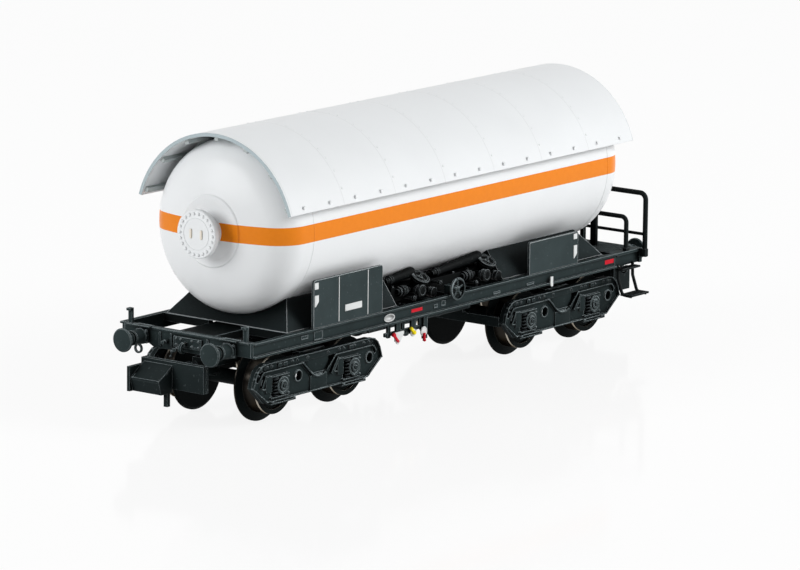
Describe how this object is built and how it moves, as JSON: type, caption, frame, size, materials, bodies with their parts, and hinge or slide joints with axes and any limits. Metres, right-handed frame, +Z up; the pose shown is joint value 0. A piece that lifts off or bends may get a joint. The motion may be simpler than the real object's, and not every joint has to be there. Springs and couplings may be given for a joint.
{
  "type": "model railway tank car",
  "caption": "Scale model railway tank car: pressure tank under a sun shield on an underframe with end platform, swivelling bogies, free-turning wheelsets and swinging hook couplers.",
  "frame": {"origin": "on the floor under the wheel flanges, midway between the coupler noses", "axes": "+X along the wagon towards the end platform, +Y across it, +Z up"},
  "size_m": [0.0732, 0.0206, 0.0282],
  "materials": {
    "white_lacquer": "satin white lacquer with an orange band",
    "frame_plastic": "matt charcoal",
    "running_gear_plastic": "matt charcoal",
    "wheel_metal": "turned metal, darkened",
    "lever_plate_white": "satin",
    "lever_red": "satin"
  },
  "bodies": {
    "wagon": {"tank_shell": "white_lacquer", "manhole_cover": "white_lacquer", "sun_shield": "white_lacquer", "shield_frame": "frame_plastic", "sole_bars": "frame_plastic", "headstock_front": "frame_plastic", "headstock_rear": "frame_plastic", "centre_sill": "frame_plastic", "cross_members": "frame_plastic", "pivot_pins": "frame_plastic", "saddle_front": "frame_plastic", "saddle_rear": "frame_plastic", "sign_boards": "frame_plastic", "buffers_front": "frame_plastic", "buffers_rear": "frame_plastic", "draw_hooks": "frame_plastic", "lamp_irons": "frame_plastic", "platform_deck": "frame_plastic", "end_railing": "frame_plastic", "inner_railings": "frame_plastic", "brake_column": "frame_plastic", "steps": "frame_plastic", "valve_manifolds": "frame_plastic", "valve_hoods": "frame_plastic", "valve_pipes": "frame_plastic", "handwheels": "frame_plastic", "lever_hangers": "frame_plastic", "lever_discs": "lever_plate_white", "lever_arms": "lever_red", "brake_cylinder": "frame_plastic", "air_reservoir": "frame_plastic"},
    "bogie_front": {"bogie_frame_front": "running_gear_plastic", "bogie_sides_front": "running_gear_plastic", "axle_boxes_front": "running_gear_plastic"},
    "coupler_front": {"coupler_front": "running_gear_plastic"},
    "wheelset_front_outer": {"wheelset_front_outer": "wheel_metal"},
    "wheelset_front_inner": {"wheelset_front_inner": "wheel_metal"},
    "bogie_rear": {"bogie_frame_rear": "running_gear_plastic", "bogie_sides_rear": "running_gear_plastic", "axle_boxes_rear": "running_gear_plastic"},
    "coupler_rear": {"coupler_rear": "running_gear_plastic"},
    "wheelset_rear_outer": {"wheelset_rear_outer": "wheel_metal"},
    "wheelset_rear_inner": {"wheelset_rear_inner": "wheel_metal"}
  },
  "joints": [
    {"name": "bogie_front_swivel", "type": "hinge", "parent": "wagon", "child": "bogie_front", "pos_m": [-0.0204, 0, 0.007], "axis": [0, 0, 1], "range_deg": [-7, 7]},
    {"name": "coupler_front_swing", "type": "hinge", "parent": "bogie_front", "child": "coupler_front", "pos_m": [-0.0287, 0, 0.00515], "axis": [0, 0, 1], "range_deg": [-10, 10]},
    {"name": "wheelset_front_outer_spin", "type": "hinge", "parent": "bogie_front", "child": "wheelset_front_outer", "pos_m": [-0.02602, 0, 0.00388], "axis": [0, 1, 0], "continuous": true},
    {"name": "wheelset_front_inner_spin", "type": "hinge", "parent": "bogie_front", "child": "wheelset_front_inner", "pos_m": [-0.01477, 0, 0.00388], "axis": [0, 1, 0], "continuous": true},
    {"name": "bogie_rear_swivel", "type": "hinge", "parent": "wagon", "child": "bogie_rear", "pos_m": [0.0204, 0, 0.007], "axis": [0, 0, 1], "range_deg": [-7, 7]},
    {"name": "coupler_rear_swing", "type": "hinge", "parent": "bogie_rear", "child": "coupler_rear", "pos_m": [0.0287, 0, 0.00515], "axis": [0, 0, 1], "range_deg": [-10, 10]},
    {"name": "wheelset_rear_outer_spin", "type": "hinge", "parent": "bogie_rear", "child": "wheelset_rear_outer", "pos_m": [0.02602, 0, 0.00388], "axis": [0, 1, 0], "continuous": true},
    {"name": "wheelset_rear_inner_spin", "type": "hinge", "parent": "bogie_rear", "child": "wheelset_rear_inner", "pos_m": [0.01477, 0, 0.00388], "axis": [0, 1, 0], "continuous": true}
  ]
}
